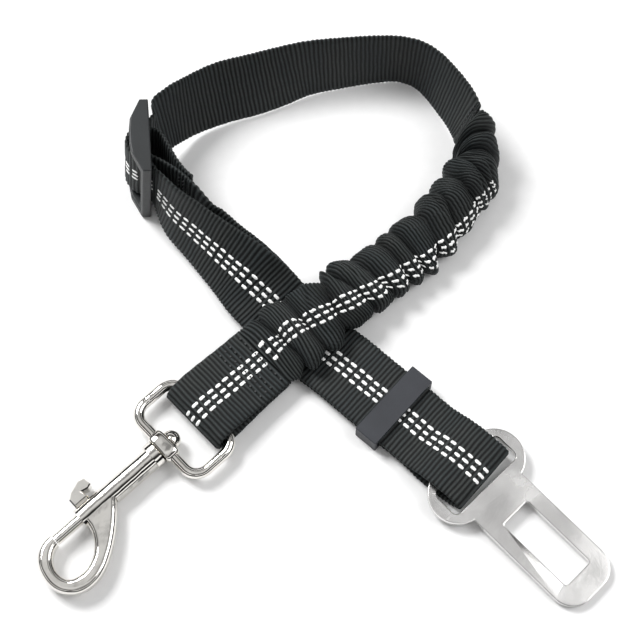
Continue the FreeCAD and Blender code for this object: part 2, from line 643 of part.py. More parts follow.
back_rows = smooth_route(back_stations(), ROUTE_STEPS)
placed("back_webbing", ribbon([Vector(*row[:3]) for row in back_rows], [Vector(*row[3:]) for row in back_rows],
                              WEB, THICK))
LOOP_EDGE_LEAN = 85.0
LOOP_END_LEVEL = 12.7
LOOP_ROUTE = [
    spot_route(beyond(BIGHT[::-1], 3 * SEAM_GAP), LOOP_EDGE_LEAN), (-55.1, 64.1, 16.2, 99),
    (-51.3, 68.6, 15.3, 107), (-45.5, 73.9, 13.5, 110), (-34.8, 80.0, 12.2, 116), (-23.5, 83.6, 12.1, 116),
    (-14.9, 86.6, 12.2, 113), (-6.4, 89.4, 12.6, 107), (7.0, 91.9, 12.8, 102), (19.4, 93.4, 12.9, 98),
    (28.2, 93.4, 12.9, 96), (34.6, 91.2, 12.9, 98), (39.4, 87.0, 12.9, 101), (43.6, 81.2, 12.9, 103),
    (47.0, 75.8, 12.9, 104), (49.6, 70.4, 12.9, 105),
    spot_route(SLEEVE_HEAD - SLEEVE_HEADING * 2 + UP * LOOP_END_LEVEL, SLEEVE_HEAD_LEAN),
    spot_route(SLEEVE_HEAD - SLEEVE_HEADING * SEAM_GAP + UP * LOOP_END_LEVEL, SLEEVE_HEAD_LEAN)]
placed("loop_webbing", leaning_ribbon(LOOP_ROUTE, 3, WEB, THICK))
# Along the strap from the fold at the tongue's bar, and height above the floor.
BAR_ALONG = 25.0
BAR_HEIGHT = 4.15
TONGUE_FOLD = [(-TONGUE_STRAP_END, 2.7), (-34, 2.8), (-28, 3.4), (-22, 4.2), (-14, 4.3), (6, 4.3), (15, 4.4), (21, 6.7),
               (BAR_ALONG, 7.65), (30.8, 7.0), (35.4, 5.1), (36.2, 4.0), (35.2, 2.6), (31.0, 1.0),
               (BAR_ALONG, 0.75), (20.6, 1.0), (15, 2.6), (6, 2.6), (-14, 2.6), (-22, 2.5), (-28, 1.7),
               (-34, 1.1), (-TONGUE_STRAP_END, 1.0)]
placed("tongue_end_webbing",
       folded_ribbon(Vector(KEEPER_X, KEEPER_Y, 0), STRAP_DIRECTION, UP, TONGUE_FOLD,
                     Vector(STRAP_DIRECTION.y, -STRAP_DIRECTION.x, 0), WEB, THICK))

# ---------------------------------------------------------------- keeper
keeper = doc.addObject("PartDesign::Body", "keeper")
INNER_REACH = [(0.5, "keeper_reach"), (-1.0, "keeper_wall")]
MINUS_INNER_REACH = [(-0.5, "keeper_reach"), (1.0, "keeper_wall")]
INNER_RISE = [(0.5, "keeper_height"), (-1.0, "keeper_wall")]
MINUS_INNER_RISE = [(-0.5, "keeper_height"), (1.0, "keeper_wall")]
keeper_sketch = outline_sketch(keeper, "keeper_sketch", "YZ_Plane", [
    rectangle([(-0.5, "keeper_reach")], [(0.5, "keeper_reach")],
              [(-0.5, "keeper_height")], [(0.5, "keeper_height")]),
    rectangle(MINUS_INNER_REACH, INNER_REACH, MINUS_INNER_RISE, INNER_RISE)])
pad(keeper, "keeper_ring", keeper_sketch, "sizes.keeper_span")
place(keeper, "keeper_loop", Vector(KEEPER_X, KEEPER_Y, size("keeper_height") / 2 + FLOOR_GAP),
      FreeCAD.Rotation(UP, STRAP_HEADING))

# ---------------------------------------------------------------- seat-belt tongue
SLOT_CORNER = 2.0
LATCH_CORNER = 1.2
HALF_PLATE = "-sizes.plate_thickness / 2"
HEAD_MIDDLE = "sizes.head_radius - sizes.head_bar / 2"
NECK = "2 * sizes.head_radius - sizes.head_bar / 2"


def plate_box(name, start, length, width):
    item = primitive("Box", name, Length=length, Width=width, Height="sizes.plate_thickness")
    return turned(item, UP, 0, {"x": start, "y": "-(%s) / 2" % width, "z": HALF_PLATE})


def lobe(name, side):
    item = primitive("Cylinder", name, Radius="sizes.head_radius", Height="sizes.plate_thickness")
    return turned(item, UP, 0, {"x": HEAD_MIDDLE, "z": HALF_PLATE,
                                "y": "(%d) * (sizes.head_half_width - sizes.head_radius)" % side})


def rounded(name, base, chooser, radius):
    """Upright edges of a plate that the chooser picks, rounded."""
    doc.recompute()
    fillet = doc.addObject("Part::Fillet", name)
    fillet.Base = base
    picked = [i for i, e in enumerate(base.Shape.Edges, start=1)
              if e.BoundBox.ZLength > 0.9 * size("plate_thickness") and chooser(e.BoundBox.Center)]
    fillet.Edges = [(i, radius, radius) for i in picked]
    return fillet


head = plate_box("head", HEAD_MIDDLE + " - sizes.head_radius", "2 * sizes.head_radius",
                 "2 * (sizes.head_half_width - sizes.head_radius)")
blade = rounded("blade", plate_box("blade_blank", NECK + " - 4", "sizes.blade_length + 4", "sizes.blade_width"),
                lambda c: c.x > 30, size("blade_corner"))
slot = rounded("slot", plate_box("slot_blank", "sizes.head_bar / 2", "sizes.slot_length", "sizes.slot_width"),
               lambda c: True, SLOT_CORNER)
latch = rounded("latch", plate_box("latch_blank", NECK + " + sizes.window_start", "sizes.window_length",
                                   "sizes.window_width"), lambda c: True, LATCH_CORNER)
for cutter in (slot.Base, latch.Base):
    cutter.setExpression("Height", "3 * sizes.plate_thickness")
    cutter.setExpression("Placement.Base.z", "-1.5 * sizes.plate_thickness")
plate = fused("plate", [head, lobe("lobe_left", 1), lobe("lobe_right", -1), blade])
TONGUE_LENGTH = 2 * size("head_radius") - size("head_bar") / 2 + size("blade_length")
TONGUE_DIP = math.degrees(math.asin((BAR_HEIGHT - size("plate_thickness") / 2) / TONGUE_LENGTH))
tongue_turn = FreeCAD.Rotation(UP, TONGUE_HEADING).multiply(FreeCAD.Rotation(ALONG_X, TONGUE_DIP))
place(cut("tongue", plate, fused("openings", [slot, latch])), "seat_belt_tongue",
      Vector(TONGUE_BAR_X, TONGUE_BAR_Y, BAR_HEIGHT), tongue_turn)


# ---------------------------------------------------------------- sewing
def stitches(label, spots, through, depth, radius):
    """A row of thread stitches, each a short bar of thread through the layers."""
    bars = [Part.makeCylinder(radius, depth, spot - through * depth / 2, through) for spot in spots]
    placed(label, Part.makeCompound(bars))


def grid(origin, along, across, columns, rows, column_pitch, row_pitch):
    return [origin + along * (i - (columns - 1) / 2) * column_pitch
            + across * (j - (rows - 1) / 2) * row_pitch
            for i in range(columns) for j in range(rows)]


THREAD = size("stitch_radius")
ACROSS_STITCHES = 9
ACROSS_PITCH = 2.4
SHORT_PITCH = 2.0
stitches("snap_end_stitching",
         grid(FOLD_BASE + STRAP_AWAY * 18 + UP * 0.75, STRAP_AWAY, SNAP_ACROSS, 3, ACROSS_STITCHES,
              2.2, ACROSS_PITCH), UP, 4.9, THREAD)
sew_point = slider_spot((ANCHOR[1][0] + ANCHOR[-2][0]) / 2 + 0.7, (ANCHOR[1][1] + ANCHOR[-2][1]) / 2 - 0.6)
fold_run = (slider_spot(*ANCHOR[1]) - slider_spot(*ANCHOR[0])).normalize()
stitches("anchor_stitching", grid(sew_point, fold_run, SLIDER_UP, 2, ACROSS_STITCHES, SHORT_PITCH, ACROSS_PITCH),
         fold_run.cross(SLIDER_UP), 2 * THICK + 0.9, THREAD)
seam_run = SLEEVE_HEADING
seam_right = Vector(seam_run.y, -seam_run.x, 0)
SEAM_LEAN = math.radians(SLEEVE_HEAD_LEAN)
seam_across = seam_right * math.cos(SEAM_LEAN) + UP * math.sin(SEAM_LEAN)
seam_point = SLEEVE_HEAD - SLEEVE_HEADING * 2.4 + UP * LOOP_END_LEVEL
stitches("sleeve_upper_stitching", grid(seam_point, seam_run, seam_across, 2, ACROSS_STITCHES, SHORT_PITCH, ACROSS_PITCH),
         seam_across.cross(seam_run), THICK + 0.5, THREAD)
stitches("sleeve_lower_stitching",
         grid(FOLD_BASE + STRAP_AWAY * 24.6 + UP * 1.0, STRAP_AWAY, SNAP_ACROSS, 1, ACROSS_STITCHES,
              SHORT_PITCH, ACROSS_PITCH), UP, 4.2, THREAD)

# ---------------------------------------------------------------- check and write
doc.recompute()
for item in doc.Objects:
    if "Invalid" in item.State or "Error" in item.State:
        raise RuntimeError("%s did not compute: %s" % (item.Label, item.State))
os.makedirs("parts", exist_ok=True)
box = FreeCAD.BoundBox()
for item in sub_parts:
    shape = item.Shape
    if shape.isNull() or not shape.isValid():
        raise RuntimeError("%s has no valid shape" % item.Label)
    box.add(shape.BoundBox)
    shape.exportStep("parts/%s.step" % item.Label)
    print("%-24s solids %2d  volume %9.1f" % (item.Label, len(shape.Solids), shape.Volume))
print("box", [round(v, 2) for v in (box.XMin, box.XMax, box.YMin, box.YMax, box.ZMin, box.ZMax)])
print("sub-parts", len(sub_parts))
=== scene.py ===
import math
import random

import bpy
import numpy as np
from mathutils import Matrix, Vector


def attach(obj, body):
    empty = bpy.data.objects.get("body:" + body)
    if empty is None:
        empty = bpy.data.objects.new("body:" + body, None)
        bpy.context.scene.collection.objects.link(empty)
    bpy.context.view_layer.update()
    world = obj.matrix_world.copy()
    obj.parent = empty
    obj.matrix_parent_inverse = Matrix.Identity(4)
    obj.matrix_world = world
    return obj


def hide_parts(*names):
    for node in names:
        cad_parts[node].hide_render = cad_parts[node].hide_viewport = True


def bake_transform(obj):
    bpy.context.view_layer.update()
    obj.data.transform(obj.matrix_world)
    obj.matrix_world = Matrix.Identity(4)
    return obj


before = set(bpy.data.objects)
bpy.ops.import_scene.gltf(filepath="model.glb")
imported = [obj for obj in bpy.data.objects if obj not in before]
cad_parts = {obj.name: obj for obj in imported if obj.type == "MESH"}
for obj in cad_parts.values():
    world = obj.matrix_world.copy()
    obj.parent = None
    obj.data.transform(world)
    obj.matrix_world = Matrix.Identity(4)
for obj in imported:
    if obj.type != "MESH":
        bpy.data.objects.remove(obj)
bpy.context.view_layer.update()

MM = 0.001
random.seed(7)

# ---------------------------------------------------------------- the layout, in millimetres
SHIFT = np.array([-1.0, 0.3, 0.0])
WEB = 25.0
THICK = 1.4
PITCH = 1.7
FLOOR_GAP = 0.05
SEAM_GAP = 0.15
LEAD = 2.5
UP = np.array([0.0, 0.0, 1.0])


def vec(x, y, z=0.0):
    return np.array([x, y, z], float)


def heading(degrees):
    return vec(math.cos(math.radians(degrees)), math.sin(math.radians(degrees)))


def unit(v):
    return v / np.linalg.norm(v)


def smooth_route(stations, steps):
    """Rows on a smooth curve through the stations."""
    rows = [np.array(s, float) for s in stations]
    spans = [math.dist(a[:2], b[:2]) for a, b in zip(rows, rows[1:])]
    rates = [(b - a) / span for a, b, span in zip(rows, rows[1:], spans)]
    slopes = [rates[0]]
    for i in range(1, len(spans)):
        share = spans[i] / (spans[i - 1] + spans[i])
        slopes.append(rates[i - 1] * share + rates[i] * (1 - share))
    slopes.append(rates[-1])
    points = []
    for i, span in enumerate(spans):
        for k in range(steps):
            f = k / steps
            points.append((1 + 2 * f) * (1 - f) ** 2 * rows[i] + f * (1 - f) ** 2 * span * slopes[i]
                          + f * f * (3 - 2 * f) * rows[i + 1] - f * f * (1 - f) * span * slopes[i + 1])
    points.append(rows[-1])
    return np.array(points)


def tangents(centres):
    along = np.gradient(centres, axis=0)
    return along / np.linalg.norm(along, axis=1)[:, None]


def leaning_frame(stations, steps, under=0.0):
    """Centres and across vectors of a strap whose stations are x, y, z and lean."""
    points = smooth_route(stations, steps)
    leans = np.radians(points[:, 3])
    reach = WEB / 2 * abs(np.sin(leans)) + (THICK / 2 + under) * abs(np.cos(leans))
    centres = points[:, :3].copy()
    centres[:, 2] = np.maximum(centres[:, 2], reach + FLOOR_GAP)
    along = tangents(centres)
    right = np.stack([along[:, 1], -along[:, 0], np.zeros(len(along))], 1)
    right /= np.linalg.norm(right, axis=1)[:, None]
    acrosses = right * np.cos(leans)[:, None] + np.cross(right, along) * np.sin(leans)[:, None]
    return centres, acrosses


def folded_frame(origin, along, up, profile, across, steps):
    points = smooth_route(profile, steps)
    centres = origin + points[:, :1] * along + points[:, 1:2] * up
    return centres, np.repeat([across], len(centres), axis=0)


def even_frame(centres, acrosses, spacing):
    """The same run, resampled at an even spacing, with its distance at each row."""
    steps = np.linalg.norm(np.diff(centres, axis=0), axis=1)
    distance = np.concatenate([[0.0], np.cumsum(steps)])
    count = max(8, int(round(distance[-1] / spacing)))
    at = np.linspace(0.0, distance[-1], count + 1)
    centre = np.stack([np.interp(at, distance, centres[:, k]) for k in range(3)], 1)
    across = np.stack([np.interp(at, distance, acrosses[:, k]) for k in range(3)], 1)
    kernel = np.array([1, 4, 6, 4, 1]) / 16.0
    for _ in range(6):
        for field in (centre, across):
            padded = np.concatenate([2 * field[:1] - field[2:0:-1], field, 2 * field[-1:] - field[-2:-4:-1]])
            field[:] = np.stack([np.convolve(padded[:, k], kernel, "valid") for k in range(3)], 1)
    along = tangents(centre)
    across -= along * (across * along).sum(1)[:, None]
    across /= np.linalg.norm(across, axis=1)[:, None]
    return centre, across, along, at


STRAP_DIRECTION = heading(-41.4)
SNAP_DIRECTION = heading(223.5)
KEEPER = vec(23.8, -32.4)
EYE_BAR = vec(-37.2, -33.7, 4.45)
SLIDER_BASE = vec(-57.4, 51.8, 16.55)
SLIDER_ALONG = heading(5.3 - 90)
SLIDER_RIGHT = np.cross(UP, SLIDER_ALONG)
LEAN = math.radians(6.5)
SLIDER_UP = UP * math.cos(LEAN) + SLIDER_RIGHT * math.sin(LEAN)
SLIDER_OUT = np.cross(SLIDER_ALONG, SLIDER_UP)
STRAP_AWAY = -SNAP_DIRECTION
SNAP_ACROSS = vec(STRAP_AWAY[1], -STRAP_AWAY[0])
SLEEVE_START = 26.0
SNAP_FOLD = [(SLEEVE_START, 1.9), (16, 2.3), (7, 3.2), (0, 3.6), (-3.9, 2.3), (-5.2, 0.1), (-3.9, -2.1),
             (0, -3.55), (7, -2.85), (16, -0.9), (SLEEVE_START, 0.15)]
BIGHT = [(10.4, -1.25), (8.7, -0.35), (7.4, 1.1), (6.0, 3.9), (3.4, 6.6), (0, 7.6), (-3.4, 6.6),
         (-6.0, 3.9), (-7.4, 1.2), (-8.7, -0.5), (-10.4, -2.0)]
ANCHOR = [(15.0, -12.1), (12.4, -9.8), (9.9, -7.0), (7.4, -3.6), (5.1, 0.2), (3.4, 3.7), (0, 4.9),
          (-3.4, 3.7), (-4.9, 0.3), (-4.2, -2.8), (-0.6, -5.0), (3.6, -6.8), (7.2, -8.5), (10.8, -10.7),
          (13.6, -13.2)]
TONGUE_STRAP_END = 40
FRONT_LEVEL = 2.7
SPLIT = KEEPER - STRAP_DIRECTION * TONGUE_STRAP_END
RUN_START = SPLIT + UP * FRONT_LEVEL - STRAP_DIRECTION * SEAM_GAP
RUN_LEAD = RUN_START - STRAP_DIRECTION * LEAD
CLIMB = [(-12.2, 0.2, 3.2, 3), (-17.2, 5.0, 5.6, 14), (-24.8, 11.2, 10.0, 36), (-33.6, 19.0, 12.0, 54),
         (-41.6, 26.2, 13.6, 65), (-48.6, 32.4, 15.3, 72), (-53.0, 38.3, 16.25, 80)]
BACK_GAPS = (PITCH, PITCH, PITCH, 1.1 * PITCH, 2.3, 3.1)
BACK_BEND = (-38.0, 29.0, 12.9)
BACK_BEND_ACROSS = (0.286, 0.266, 0.9205)
TONGUE_FOLD = [(-TONGUE_STRAP_END, FRONT_LEVEL), (-34, 2.8), (-28, 3.4), (-22, 4.2), (-14, 4.3),
               (6, 4.3), (15, 4.4), (21, 6.7), (25, 7.65), (31.2, 7.2), (36.4, 6.0), (37.3, 5.1), (36.5, 3.7), (34.6, 2.2), (31.0, 1.0),
               (25, 0.75), (20.6, 1.0), (15, 2.6), (6, 2.6), (-14, 2.6), (-22, 2.5),
               (-28, 1.7), (-34, 1.1), (-TONGUE_STRAP_END, 1.0)]
SLEEVE_HEAD = vec(51.2, 65.2)
SLEEVE_HEADING = heading(-74.0)


def slider_spot(along, out):
    return SLIDER_BASE + SLIDER_ALONG * along + SLIDER_OUT * out


def station(spot, lean):
    return (spot[0], spot[1], spot[2], lean)


def beyond(profile, distance):
    """A spot past the first point of a profile in the slider's plane, straight on."""
    run = unit(np.array(profile[0], float) - np.array(profile[1], float))
    return slider_spot(*(np.array(profile[0]) + run * distance))


FRONT_EDGE_LEAN = 84.4
LOOP_EDGE_LEAN = 85
SLEEVE_HEAD_LEAN = 105
LOOP_END_LEVEL = 12.7
front_end = beyond(BIGHT, 2 * SEAM_GAP)
FRONT_ROUTE = ([station(RUN_START, 0), station(RUN_LEAD, 0)] + CLIMB
               + [station(front_end, FRONT_EDGE_LEAN)])
loop_start = beyond(BIGHT[::-1], 3 * SEAM_GAP)
loop_end = SLEEVE_HEAD - SLEEVE_HEADING * SEAM_GAP + UP * 12.9
LOOP_ROUTE = [
    station(loop_start, LOOP_EDGE_LEAN), (-55.1, 64.1, 16.2, 99), (-51.3, 68.6, 15.3, 107),
    (-45.5, 73.9, 13.5, 110), (-34.8, 80.0, 12.2, 116), (-23.5, 83.6, 12.1, 116),
    (-14.9, 86.6, 12.2, 113), (-6.4, 89.4, 12.6, 107), (7.0, 91.9, 12.8, 102), (19.4, 93.4, 12.9, 98),
    (28.2, 93.4, 12.9, 96), (34.6, 91.2, 12.9, 98), (39.4, 87.0, 12.9, 101), (43.6, 81.2, 12.9, 103),
    (47.0, 75.8, 12.9, 104), (49.6, 70.4, 12.9, 105),
    station(SLEEVE_HEAD - SLEEVE_HEADING * 2 + UP * LOOP_END_LEVEL, SLEEVE_HEAD_LEAN),
    station(loop_end, SLEEVE_HEAD_LEAN)]


BACK_EVERY = 3


def back_frame(steps):
    """The layer behind the front run, which swings away to the slider's centre bar."""
    centres, acrosses = leaning_frame(FRONT_ROUTE, BACK_EVERY, PITCH)
    runs = tangents(centres)
    rows = []
    for i, gap in enumerate(BACK_GAPS):
        centre, across, run = (field[BACK_EVERY * i] for field in (centres, acrosses, runs))
        spot = centre - unit(np.cross(across, run)) * gap
        reach = WEB / 2 * across[2] + THICK / 2 * math.sqrt(1 - across[2] ** 2)
        rows.append([spot[0], spot[1], max(spot[2], reach + FLOOR_GAP), *across])
    rows.append([*BACK_BEND, *BACK_BEND_ACROSS])
    for short in (LEAD, 2 * SEAM_GAP):
        rows.append([*beyond(ANCHOR, short), *SLIDER_UP])
    points = smooth_route(rows, steps)
    return points[:, :3], points[:, 3:]


SLEEVE_FOOT = EYE_BAR + STRAP_AWAY * (SLEEVE_START + SEAM_GAP)
SLEEVE_ROUTE = [
    (SLEEVE_FOOT[0], SLEEVE_FOOT[1], 3.4, 0, 25.0, 4.2, 0),
    (SLEEVE_FOOT[0] + 1.96, SLEEVE_FOOT[1] + 1.86, 3.5, 0, 24.6, 4.5, 0),
    (-11.4, -10.1, 4.9, 0, 24.0, 5.6, 0),
    (-4.4, -5.6, 5.0, 0, 22.4, 7.4, 6),
    (5.0, 2.0, 3.6, 0, 21.0, 9.6, 14),
    (16.2, 11.0, 0.9, 4, 19.6, 11.2, 22),
    (29.1, 21.6, 0.05, 12, 18.6, 12.4, 31),
    (37.4, 29.2, 0.05, 26, 18.0, 12.8, 36),
    (44.8, 37.4, 0.05, 44, 17.8, 13.6, 40),
    (50.9, 45.9, 0.05, 64, 17.8, 14.0, 36),
    (54.2, 54.0, 0.05, 82, 18.5, 14.0, 24),
    (53.5, 59.0, 0.05, 95, 20.6, 12.4, 10),
    (52.3, 62.5, 0.2, 102, 23.4, 10.4, 4),
    (SLEEVE_HEAD[0] + 0.35, SLEEVE_HEAD[1] - 1.1, 0.3, 105, 24.8, 6.0, 0),
    (SLEEVE_HEAD[0], SLEEVE_HEAD[1], 0.3, 105, 25.0, 4.2, 0),
]


# ---------------------------------------------------------------- materials
def nodes_of(material):
    material.use_nodes = True
    tree = material.node_tree
    tree.nodes.clear()
    out = tree.nodes.new("ShaderNodeOutputMaterial")
    shader = tree.nodes.new("ShaderNodeBsdfPrincipled")
    tree.links.new(shader.outputs[0], out.inputs[0])
    return tree, shader


def add(tree, kind, **values):
    node = tree.nodes.new("ShaderNode" + kind)
    for key, value in values.items():
        if hasattr(node, key):
            setattr(node, key, value)
        else:
            node.inputs[key.replace("_", " ")].default_value = value
    return node


def ramp(tree, source, stops):
    node = tree.nodes.new("ShaderNodeValToRGB")
    node.color_ramp.elements[0].position = stops[0][0]
    node.color_ramp.elements[0].color = (*stops[0][1], 1)
    node.color_ramp.elements[1].position = stops[-1][0]
    node.color_ramp.elements[1].color = (*stops[-1][1], 1)
    for position, colour in stops[1:-1]:
        node.color_ramp.elements.new(position).color = (*colour, 1)
    tree.links.new(source, node.inputs[0])
    return node.outputs[0]


def noise(tree, vector, scale, detail=3.0, roughness=0.5):
    node = tree.nodes.new("ShaderNodeTexNoise")
    node.inputs["Scale"].default_value = scale
    node.inputs["Detail"].default_value = detail
    node.inputs["Roughness"].default_value = roughness
    tree.links.new(vector, node.inputs["Vector"])
    return node


def mapped(tree, source, scale, location=(0, 0, 0)):
    node = tree.nodes.new("ShaderNodeMapping")
    node.inputs["Scale"].default_value = scale
    node.inputs["Location"].default_value = location
    tree.links.new(source, node.inputs["Vector"])
    return node.outputs[0]


def bump(tree, shader, height, strength, distance, previous=None):
    node = tree.nodes.new("ShaderNodeBump")
    node.inputs["Strength"].default_value = strength
    node.inputs["Distance"].default_value = distance
    tree.links.new(height, node.inputs["Height"])
    if previous is not None:
        tree.links.new(previous.outputs[0], node.inputs["Normal"])
    tree.links.new(node.outputs[0], shader.inputs["Normal"])
    return node


def webbing_material(name, dark, light, tint):
    """Woven nylon: the weave map runs across and along the strap, in millimetres."""
    material = bpy.data.materials.new(name)
    tree, shader = nodes_of(material)
    uv = add(tree, "UVMap", uv_map="weave").outputs[0]
    yarns = noise(tree, mapped(tree, uv, (0.9, 6.0, 1)), 1.0, 4.0, 0.6)
    patches = noise(tree, mapped(tree, uv, (0.05, 0.09, 1), (3, 5, 0)), 1.0, 3.0, 0.5)
    fibres = noise(tree, mapped(tree, uv, (14.0, 3.0, 1)), 1.0, 2.0, 0.6)
    painted_shade_level = add(tree, "Attribute", attribute_name="painted_shade_level").outputs["Fac"]
    mix = add(tree, "Mix", data_type="RGBA", blend_type="MIX")
    tree.links.new(ramp(tree, yarns.outputs[0], [(0.3, dark), (0.7, light)]), mix.inputs[6])
    tree.links.new(ramp(tree, patches.outputs[0], [(0.35, light), (0.65, tint)]), mix.inputs[7])
    mix.inputs[0].default_value = 0.4
    # Painted shade: the base colour is multiplied down to near black where the per-vertex level is low, in
    # the grooves between ribs and in the sleeve's valleys between gathers.
    painted_shade_mix = add(tree, "Mix", data_type="RGBA", blend_type="MULTIPLY")
    painted_shade_mix.inputs[0].default_value = 1.0
    tree.links.new(mix.outputs[2], painted_shade_mix.inputs[6])
    painted_groove_shade = ramp(tree, painted_shade_level, [(0.2, (0.03, 0.03, 0.03)), (0.65, (0.36, 0.36, 0.36)), (0.98, (1, 1, 1))])
    tree.links.new(painted_groove_shade, painted_shade_mix.inputs[7])
    tree.links.new(painted_shade_mix.outputs[2], shader.inputs["Base Color"])
    rough = ramp(tree, fibres.outputs[0], [(0.2, (0.52, 0.52, 0.52)), (0.8, (0.72, 0.72, 0.72))])
    tree.links.new(rough, shader.inputs["Roughness"])
    shader.inputs["Sheen Weight"].default_value = 0.05
    shader.inputs["Sheen Roughness"].default_value = 0.5
    shader.inputs["Sheen Tint"].default_value = (0.75, 0.85, 0.88, 1)
    shader.inputs["Specular IOR Level"].default_value = 0.22
    first = bump(tree, shader, yarns.outputs[0], 0.5, 0.00012)
    bump(tree, shader, fibres.outputs[0], 0.35, 0.00006, first)
    return material


def reflective_yarn_painted_glow_material():
    material = bpy.data.materials.new("reflective_yarn_painted_glow")
    tree, shader = nodes_of(material)
    place = add(tree, "TexCoord").outputs["Object"]
    grain = noise(tree, place, 2600.0, 2.0)
    tree.links.new(ramp(tree, grain.outputs[0], [(0.3, (0.82, 0.83, 0.82)), (0.7, (0.95, 0.95, 0.94))]),
                   shader.inputs["Base Color"])
    shader.inputs["Roughness"].default_value = 0.45
    # Painted glow: a faint white emission makes the yarn shine though it is no lamp.
    shader.inputs["Emission Color"].default_value = (1, 1, 1, 1)
    shader.inputs["Emission Strength"].default_value = 0.12
    bump(tree, shader, grain.outputs[0], 0.3, 0.00005)
    return material


def chrome_material(name, colour, rough, wave, pits):
    """Plated metal with a slightly uneven, faintly pitted skin."""
    material = bpy.data.materials.new(name)
    tree, shader = nodes_of(material)
    place = add(tree, "TexCoord").outputs["Object"]
    cast = noise(tree, place, 160.0, 2.0, 0.4)
    grain = noise(tree, place, 1900.0, 3.0, 0.7)
    haze = noise(tree, place, 60.0, 4.0, 0.6)
    tree.links.new(ramp(tree, haze.outputs[0], [(0.3, tuple(c * 0.9 for c in colour)), (0.7, colour)]),
                   shader.inputs["Base Color"])
    shader.inputs["Metallic"].default_value = 1.0
    tree.links.new(ramp(tree, haze.outputs[0], [(0.35, (rough, rough, rough)), (0.8, (rough * 2.2,) * 3)]),
                   shader.inputs["Roughness"])
    first = bump(tree, shader, cast.outputs[0], wave, 0.0004)
    bump(tree, shader, grain.outputs[0], pits, 0.00004, first)
    return material


def plastic_material(name, dark, light, rough, grain_size, depth):
    material = bpy.data.materials.new(name)
    tree, shader = nodes_of(material)
    place = add(tree, "TexCoord").outputs["Object"]
    grain = noise(tree, place, grain_size, 3.0, 0.6)
    cloud = noise(tree, place, 90.0, 3.0, 0.5)
    tree.links.new(ramp(tree, cloud.outputs[0], [(0.3, dark), (0.7, light)]), shader.inputs["Base Color"])
    tree.links.new(ramp(tree, grain.outputs[0], [(0.3, (rough,) * 3), (0.7, (rough + 0.12,) * 3)]),
                   shader.inputs["Roughness"])
    shader.inputs["Specular IOR Level"].default_value = 0.5
    bump(tree, shader, grain.outputs[0], 0.5, depth)
    return material


def thread_material():
    material = bpy.data.materials.new("sewing_thread")
    tree, shader = nodes_of(material)
    place = add(tree, "TexCoord").outputs["Object"]
    twist = noise(tree, place, 3200.0, 2.0)
    tree.links.new(ramp(tree, twist.outputs[0], [(0.3, (0.012, 0.013, 0.014)), (0.7, (0.04, 0.043, 0.045))]),
                   shader.inputs["Base Color"])
    shader.inputs["Roughness"].default_value = 0.5
    bump(tree, shader, twist.outputs[0], 0.6, 0.00008)
    return material


WEBBING = webbing_material("webbing", (0.006, 0.007, 0.007), (0.054, 0.060, 0.058), (0.030, 0.042, 0.047))
REFLECTIVE_PAINTED_GLOW = reflective_yarn_painted_glow_material()
SNAP_CHROME = chrome_material("snap_chrome", (0.84, 0.82, 0.78), 0.05, 0.7, 0.2)
TONGUE_CHROME = chrome_material("tongue_chrome", (0.86, 0.85, 0.84), 0.16, 0.12, 0.5)
SPRING_STEEL = chrome_material("spring_steel", (0.55, 0.55, 0.55), 0.25, 0.05, 0.2)
SLIDER_PLASTIC = plastic_material("slider_plastic", (0.013, 0.015, 0.016), (0.020, 0.023, 0.025), 0.42,
                                  2200.0, 0.00003)
KEEPER_PLASTIC = plastic_material("keeper_plastic", (0.020, 0.022, 0.028), (0.030, 0.033, 0.041), 0.5,
                                  2600.0, 0.00002)
THREAD = thread_material()


def new_object(name, vertices, faces, material):
    mesh = bpy.data.meshes.new(name)
    mesh.from_pydata([tuple(v) for v in vertices], [], faces)
    mesh.materials.append(material)
    mesh.update()
    mesh.polygons.foreach_set("use_smooth", [True] * len(mesh.polygons))
    item = bpy.data.objects.new(name, mesh)
    bpy.context.scene.collection.objects.link(item)
    return item


def grid_faces(rows, columns):
    """Quads of a net whose columns close on themselves."""
    return [(i * columns + j, i * columns + (j + 1) % columns, (i + 1) * columns + (j + 1) % columns,
             (i + 1) * columns + j) for i in range(rows - 1) for j in range(columns)]


def cad_material(node, material):
    """A CAD node keeps its shape and takes a better material."""
    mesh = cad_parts[node].data
    mesh.materials.clear()
    mesh.materials.append(material)


def eased(node, body, material, width, segments):
    """A copy of a sharp-edged node with its corners broken, in the node's place."""
    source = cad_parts[node]
    item = bpy.data.objects.new(node + "_eased", source.data.copy())
    bpy.context.scene.collection.objects.link(item)
    item.matrix_world = source.matrix_world.copy()
    item.data.materials.clear()
    item.data.materials.append(material)
    weld = item.modifiers.new("weld", "WELD")
    weld.merge_threshold = 0.00001
    bevel = item.modifiers.new("bevel", "BEVEL")
    bevel.width = width * MM
    bevel.segments = segments
    bevel.limit_method = "ANGLE"
    bevel.angle_limit = math.radians(35)
    bevel.use_clamp_overlap = True
    bpy.context.view_layer.update()
    shaped = bpy.data.meshes.new_from_object(item.evaluated_get(bpy.context.evaluated_depsgraph_get()))
    item.modifiers.clear()
    item.data = shaped
    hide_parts(node)
    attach(item, body)
    return item


BEND_STEPS = 12
RING_ROWS = 161
WIRE_SIDES = 28
HUB_RINGS = 33
HUB_SIDES = 48
HUB_HALF = (2.85, 5.5, 3.0)
HUB_ROUND = (0.35, 0.55, 0.75)
HUB_AT = 17.35


